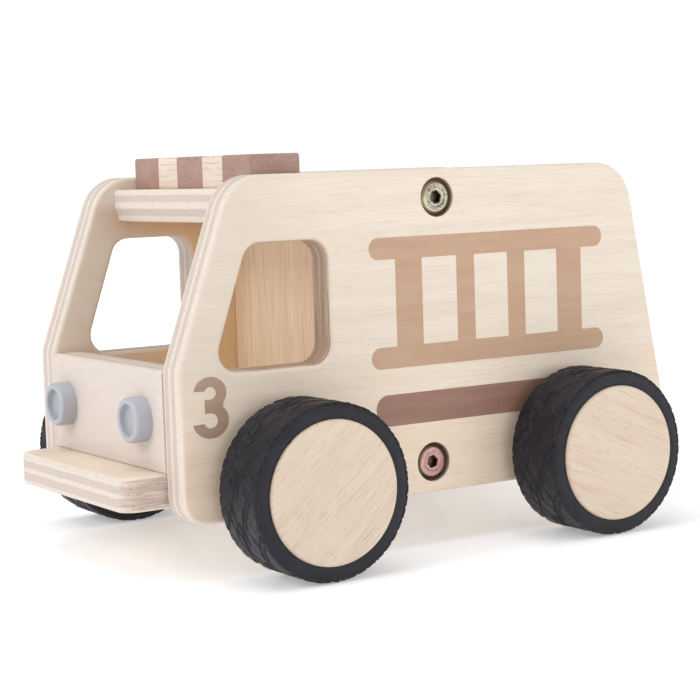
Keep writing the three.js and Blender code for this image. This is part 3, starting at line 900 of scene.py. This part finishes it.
def bolt_mesh(name, node, centre, sign):
    """A bevelled round head with a hexagon socket in a shallow dish, and its shank."""
    face, tip = outer_inner(node)
    shell = Shell(across_from(face, sign))
    profile = [
        (BOLT_DISH, BOLT_DISH_R - 0.5), (0.0, BOLT_DISH_R),
        (0.0, BOLT_FACE_R - 0.7), (0.08, BOLT_FACE_R - 0.3), (0.3, BOLT_FACE_R),
        (BOLT_HEAD - BOLT_RIM, BOLT_HEAD_R), (BOLT_HEAD, BOLT_HEAD_R),
        (BOLT_HEAD, BOLT_SHANK_R), (face - tip, BOLT_SHANK_R),
    ]
    head = [shell.ring(circle(*centre, radius), depth) for depth, radius in profile]
    lead = 0.25             # the socket's bevelled mouth
    steps = ((BOLT_DISH, -lead), (BOLT_DISH + lead, 0.0), (SOCKET_DEPTH, 0.0))
    socket = [shell.ring(hexagon(centre, inset), depth) for depth, inset in steps]
    for rings in (head, socket):
        shell.wall(rings)
        shell.cap([rings[-1]])
    shell.cap([head[0], socket[0]])
    return shell.piece(name, 25)


# ---- Wheels ----

def disc_profile(thickness):
    """The disc's section from its face to its back, as (radius, depth)."""
    quarter = [math.pi / 2 * k / 8 for k in range(9)]
    flat = DISC_R - DISC_ROUND
    return [
        (0.0, 0.0), (flat - SUPPORT, 0.0),
        *((flat + DISC_ROUND * math.sin(t), DISC_ROUND * (1 - math.cos(t))) for t in quarter),
        (DISC_R, thickness - DISC_BACK_BEVEL), (DISC_R - DISC_BACK_BEVEL, thickness), (0.0, thickness),
    ]


def make_discs():
    for end, slope in DISC_GRAIN.items():
        look = disc_wood(f"wheel_disc_{end}_look", slope)
        y, z = axle_centre(end)
        for side, sign in SIDES.items():
            node = f"wheel_disc_{end}_{side}"
            face, back = outer_inner(node)
            disc = turned(f"{node}_wood", disc_profile(face - back),
                          lambda a, b, depth, sign=sign, y=y, z=z, face=face:
                          (sign * (face - depth), y + a, z + b), steps=128)
            dress(disc, node, look)


def groove_lines():
    """One repeat's curved grooves, as (turn in repeats, place across from 0 to 1, half width in
    millimetres, share of the full depth)."""
    s = np.linspace(0, 1, 70)
    return [
        (1.3 * s, 0.52 + 0.44 * s ** 1.8, 0.5, 1.0),
        (0.45 - 1.3 * s, 0.48 - 0.44 * s ** 1.8, 0.5, 1.0),
        (0.62 + 0.7 * s, 0.66 + 0.30 * s ** 1.4, 0.42, 0.8),
        (1.05 - 0.7 * s, 0.34 - 0.30 * s ** 1.4, 0.42, 0.8),
        (0.2 + 0.35 * s, 0.30 - 0.08 * s, 0.36, 0.6),
        (0.7 + 0.3 * s, 0.82 - 0.10 * s, 0.36, 0.6),
    ]


def groove(closeness, depth):
    """A groove's section: nothing where closeness is 0 or less, and its full depth from 1 up."""
    cut = np.clip(closeness, 0, 1)
    return GROOVE_DEPTH * depth * cut * cut * (3 - 2 * cut)


def wave(turns, phase=0.0):
    return np.sin(2 * np.pi * (turns + phase))


def tread_relief(across, width):
    """How far the tread lies below its full radius, for TREAD_STEPS columns of one repeat."""
    circumference = 2 * math.pi * TYRE_R / TREAD_REPEATS
    turn = (np.arange(TREAD_STEPS) / TREAD_STEPS)[:, None]
    place = across[None, :] * width
    edge = np.minimum(across, 1 - across)[None, :] * width
    relief = np.zeros((TREAD_STEPS, len(across)))
    for line_turn, line_across, half_width, depth in groove_lines():
        best = np.full(relief.shape, 1e9)
        for t, a in zip(line_turn, line_across):
            gap = (turn - t + 0.5) % 1.0 - 0.5
            best = np.minimum(best, (gap * circumference) ** 2 + (place - a * width) ** 2)
        relief = np.maximum(relief, groove(1.9 - np.sqrt(best) / half_width, depth))
    # Two wavy grooves run right round, near the middle.
    for mean in (0.60, 0.69):
        line = mean + 0.022 * np.sin(2 * np.pi * turn * 2 + mean * 40)
        relief = np.maximum(relief, groove(1.7 - np.abs(place - line * width) / 0.4, 0.6))
    # The rubber between the grooves is lumpy, but not at the edges.
    lumps = wave(2 * turn + 3.1 * across) + wave(3 * turn - 4.3 * across, 0.2)
    lumps = lumps + 0.7 * wave(6 * turn + 5.7 * across, 0.5)
    most = 2.7              # the largest that the three waves add up to
    relief = relief + LUMP_DEPTH * (lumps + most) / (2 * most) * np.clip(edge / 2.0, 0, 1)
    # Notches cut the edges, four to a repeat.
    notch = np.clip(1.6 * np.cos(2 * np.pi * turn * 4) - 0.8, 0, 1) * np.clip(1 - edge / 2.6, 0, 1)
    return np.maximum(relief, NOTCH_DEPTH * np.clip(notch * 1.6, 0, 1))


def tyre_rings(width):
    """The tyre's section as (radius, distance behind the outer face, tread place or None)."""
    head = [
        # The seat and the wall of the recess that the disc fills.
        (TYRE_BORE_R, TYRE_SEAT), (TYRE_RECESS_R - 0.3, TYRE_SEAT), (TYRE_RECESS_R, TYRE_SEAT - 0.3),
        (TYRE_RECESS_R, 0.5), (TYRE_RECESS_R + 0.15, 0.15), (TYRE_RECESS_R + 0.5, 0.0),
        # The side, with a shallow line moulded near its rim.
        (TYRE_SIDE_R - 1.3, 0.0), (TYRE_SIDE_R - 0.9, 0.22), (TYRE_SIDE_R - 0.5, 0.22),
        (TYRE_SIDE_R - 0.15, 0.02),
    ]
    tread = []
    for k in range(TREAD_ROWS + 1):
        at = TYRE_SHOULDER * 0.25 + (width - TYRE_SHOULDER * 0.5) * k / TREAD_ROWS
        edge = min(at, width - at)
        sink = (TYRE_R - TYRE_SIDE_R) * max(0.0, 1 - edge / TYRE_SHOULDER) ** 2
        tread.append((TYRE_R - sink, at, at / width))
    foot = [(TYRE_SIDE_R - 0.15, width - 0.02), (TYRE_SIDE_R - 0.9, width),
            (TYRE_BORE_R + 0.5, width), (TYRE_BORE_R, width - 0.5)]
    return [(*ring, None) for ring in head] + tread + [(*ring, None) for ring in foot]


def tyre_mesh(name, node, sign, y, z):
    """A tyre with its tread cut in, as a grid of columns round the axle and rings across them."""
    face, back = outer_inner(node)
    width = face - back
    rings = tyre_rings(width)
    columns = TREAD_STEPS * TREAD_REPEATS
    across = np.array([place for _, _, place in rings if place is not None])
    first = next(k for k, ring in enumerate(rings) if ring[2] is not None)
    radius = np.tile(np.array([r for r, _, _ in rings], float), (columns, 1))
    radius[:, first:first + len(across)] -= np.tile(tread_relief(across, width), (TREAD_REPEATS, 1))
    angle = (2 * np.pi * np.arange(columns) / columns)[:, None]
    x = np.tile(np.array([sign * (face - d) for _, d, _ in rings]), (columns, 1))
    points = np.stack([x, y + radius * np.cos(angle), z + radius * np.sin(angle)], -1) * MM
    count = len(rings)
    column, ring = np.meshgrid(np.arange(columns), np.arange(count), indexing="ij")
    here, beside = column * count, ((column + 1) % columns) * count
    inner = (ring + 1) % count
    quads = np.stack([here + ring, here + inner, beside + inner, beside + ring], -1)
    mesh = bpy.data.meshes.new(name)
    mesh.from_pydata(points.reshape(-1, 3).tolist(), [], quads.reshape(-1, 4).tolist())
    return finished(name, mesh, 42)


def make_tyres(look):
    for end in AXLES:
        for side, sign in SIDES.items():
            node = f"tyre_{end}_{side}"
            dress(tyre_mesh(f"{node}_rubber", node, sign, *axle_centre(end)), node, look)


# ---- Printed pictures ----

def ladder_outline():
    """The ladder's outer edge, counter-clockwise from the foot of its front end."""
    (y0, y1), (low0, low1), (top0, top1) = RAIL_Y, RAIL_LOW, RAIL_TOP
    first, last = BARS[0][0], BARS[-1][1]
    r, inner = RAIL_R, BAR_INNER_R
    return ((y0, low0, r), (y1, low0, r), (y1, low1, r), (last, low1, inner), (last, top0, inner),
            (y1, top0, r), (y1, top1, r), (y0, top1, r), (y0, top0, r), (first, top0, inner),
            (first, low1, inner), (y0, low1, r))


def ladder_gaps():
    """The openings between one bar and the next."""
    return [rectangle(left[1], right[0], RAIL_LOW[1], RAIL_TOP[0], BAR_INNER_R)
            for left, right in zip(BARS, BARS[1:])]


def bow(centre_b, wide, tall, start, end, steps=28):
    """Points of an elliptical arc about (0, centre_b), from start to end degrees."""
    turns = [math.radians(start + (end - start) * k / steps) for k in range(steps + 1)]
    return [Vector((wide * math.cos(t), centre_b + tall * math.sin(t))) for t in turns]


def numeral_outline():
    """A plain bold figure three, 25.3 high from its foot at 0, as one closed line.

    Each bowl has a centre height and (half width, half height) of its outer and inner edge.
    """
    high, low = 18.6, 7.3
    outer_high, inner_high = (7.6, 6.7), (2.7, 2.6)
    outer_low, inner_low = (8.3, 7.3), (3.2, 3.1)
    spur = -2.6             # where the inward point between the bowls ends
    points = bow(high, *outer_high, 170, -36)
    points += bow(low, *outer_low, 46, -170)
    points += bow(low, *inner_low, -160, 90)
    points += [Vector((spur, low + inner_low[1])), Vector((spur, high - inner_high[1]))]
    points += bow(high, *inner_high, -90, 160)
    return points[::-1]     # counter-clockwise, like the other outlines


def print_on(name, shapes, look, side, sign):
    """A thin film of ink on the outer face of a side panel, from (outer line, gaps) shapes."""
    shell = Shell(across_from(PANEL_FACE_X + INK, sign))
    for outline, gaps in shapes:
        loops = []
        for line in [outline] + gaps:
            rings = [shell.ring(line, 0.0), shell.ring(line, INK)]
            shell.wall(rings)
            loops.append(rings)
        shell.cap([rings[0] for rings in loops])
        shell.cap([rings[1] for rings in loops])
    film = shell.piece(name)
    film.data.materials.append(look)
    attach(film, BODY_OF[f"side_panel_{side}"])


def make_prints():
    tan = ink("ladder_ink_look", LADDER_INK)
    umber = ink("numeral_ink_look", NUMERAL_INK)
    brown = ink("stripe_ink_look", STRIPE_INK)
    ladder = (rounded(ladder_outline(), steps=8), [rounded(gap, steps=3) for gap in ladder_gaps()])
    stripe = (rounded(rectangle(*STRIPE_Y, *STRIPE_Z, STRIPE_R)), [])
    for side, sign in SIDES.items():
        figure = [Vector((NUMERAL_Y + sign * p.x, NUMERAL_Z + p.y)) for p in numeral_outline()]
        print_on(f"ladder_print_{side}", [ladder], tan, side, sign)
        print_on(f"stripe_print_{side}", [stripe], brown, side, sign)
        print_on(f"numeral_print_{side}", [(figure, [])], umber, side, sign)


# ---- CAD nodes whose shape stays ----

def dress_cad_nodes():
    looks = {
        "bright_steel": mottled("bright_steel_look", STEEL, (14.0, 0.5, 0.5), (2, 7, 1), 0.22, 0.2,
                                metallic=1.0),
        "white_nylon": mottled("white_nylon_look", NYLON, (4.0, 4.0, 4.0), (5, 5, 1), 0.38, 0.16,
                               specular=0.45),
        "dowel_beech": plain_wood("dowel_beech_look", DOWEL_BEECH, (3.0, 3.0, 3.0), (0, 0, 1)),
        "wheel_core_wood": plain_wood("wheel_core_look", CORE_WOOD, (9.0, 0.6, 0.6), (0, 0, 1)),
    }
    for name, node in nodes.items():
        look = looks.get(SLOT_OF[name])
        if look:
            node.data.materials.clear()
            node.data.materials.append(look)


# ---- Stage ----

CAMERA_AT = (742.99, -468.70, 168.66)
CAMERA_AZIMUTH = 57.48
CAMERA_ELEVATION = 5.63
CAMERA_ROLL = -1.87
CAMERA_LENS = 97.18

LIGHT_AIM = (0, 0, 0.08)
LIGHT_TINT = (0.95, 0.98, 1.0)
LIGHTS = (
    # name, place and width in metres, power in watts
    ("key", (1.3, 1.6, 0.4), 1.2, 6.5),
    ("side_fill", (1.6, 0.5, 0.2), 1.2, 5),
    ("front_fill", (0.1, -1.6, 1.1), 0.8, 11),
    ("top", (0, -0.3, 1.9), 1.4, 11),
)
WORLD_STRENGTH = 0.68
CAMERA_RAY_ADDS = 0.38                  # the backdrop looks whiter than the light it gives
GLOSSY_RAY_ADDS = -0.28

FLOOR_COLOUR = (0.85, 0.86, 0.88, 1)
FLOOR_REACH = 12.0                      # metres
FLOOR_NEAR, FLOOR_FAR = 0.3, 1.5        # metres from the toy's middle
FLOOR_GLOW, FLOOR_FAR_GLOW = 0.36, 0.8
FLOOR_GLOSS = 0.10


def make_camera():
    azimuth, elevation = math.radians(CAMERA_AZIMUTH), math.radians(CAMERA_ELEVATION)
    roll = math.radians(CAMERA_ROLL)
    right = Vector((math.cos(azimuth), math.sin(azimuth), 0))
    back = Vector((math.sin(azimuth) * math.cos(elevation),
                   -math.cos(azimuth) * math.cos(elevation), math.sin(elevation)))
    up = back.cross(right)
    turned_right = right * math.cos(roll) + up * math.sin(roll)
    turned_up = up * math.cos(roll) - right * math.sin(roll)
    data = bpy.data.cameras.new("camera")
    data.lens = CAMERA_LENS
    data.sensor_width = 36
    data.clip_start, data.clip_end = 0.01, 50
    camera = in_scene("camera", data)
    basis = Matrix((turned_right, turned_up, back)).transposed()
    camera.matrix_world = Matrix.Translation(Vector(CAMERA_AT) * MM) @ basis.to_4x4()
    bpy.context.scene.camera = camera


def area_light(name, at, size, power):
    data = bpy.data.lights.new(name, "AREA")
    data.shape = "SQUARE"
    data.size = size
    data.energy = power
    data.color = LIGHT_TINT
    light = in_scene(name, data)
    away = (Vector(at) - Vector(LIGHT_AIM)).normalized()
    light.rotation_euler = away.to_track_quat("Z", "Y").to_euler()
    light.location = at


def floor_look():
    """A pale floor with a little gloss, which glows more towards the horizon and so hides it."""
    material, tree = empty_material("studio_floor_look")
    coords = add_node(tree, "ShaderNodeTexCoord")
    distance = add_node(tree, "ShaderNodeVectorMath", coords.outputs["Object"], operation="LENGTH")
    glow = add_node(tree, "ShaderNodeMapRange", distance.outputs["Value"], FLOOR_NEAR, FLOOR_FAR,
                    FLOOR_GLOW, FLOOR_FAR_GLOW, interpolation_type="SMOOTHSTEP")
    matt = add_node(tree, "ShaderNodeBsdfPrincipled")
    sockets = {"Base Color": FLOOR_COLOUR, "Roughness": 1.0, "Specular IOR Level": 0.0,
               "Emission Color": (1, 1, 1, 1), "Emission Strength": glow.outputs[0]}
    for name, value in sockets.items():
        feed(tree, matt.inputs[name], value)
    gloss = add_node(tree, "ShaderNodeBsdfGlossy")
    gloss.inputs["Roughness"].default_value = 0.06
    mix = add_node(tree, "ShaderNodeMixShader", FLOOR_GLOSS, matt.outputs[0], gloss.outputs[0])
    add_node(tree, "ShaderNodeOutputMaterial", mix.outputs[0])
    return material


def make_floor_stage():
    mesh = bpy.data.meshes.new("studio_floor")
    r = FLOOR_REACH
    mesh.from_pydata([(-r, -r, 0), (r, -r, 0), (r, r, 0), (-r, r, 0)], [], [(0, 1, 2, 3)])
    mesh.materials.append(floor_look())
    in_scene("studio_floor", mesh)


def make_light():
    world = bpy.data.worlds.new("studio_world")
    world.use_nodes = True
    bpy.context.scene.world = world
    tree = world.node_tree
    background = tree.nodes["Background"]
    background.inputs["Color"].default_value = (1, 1, 1, 1)
    path = add_node(tree, "ShaderNodeLightPath")
    strength = WORLD_STRENGTH
    for ray, change in (("Is Camera Ray", CAMERA_RAY_ADDS), ("Is Glossy Ray", GLOSSY_RAY_ADDS)):
        step = add_node(tree, "ShaderNodeMath", path.outputs[ray], change, strength,
                        operation="MULTIPLY_ADD")
        strength = step.outputs[0]
    tree.links.new(strength, background.inputs["Strength"])
    for light in LIGHTS:
        area_light(*light)
    view = bpy.context.scene.view_settings
    view.view_transform = "Standard"
    view.look = "None"


make_side_panels(side_plywood())
make_boards()
make_light_bar()
make_headlights(grey_plastic())
make_bolts()
make_discs()
make_tyres(tyre_rubber())
make_prints()
dress_cad_nodes()
make_floor_stage()
make_light()
make_camera()
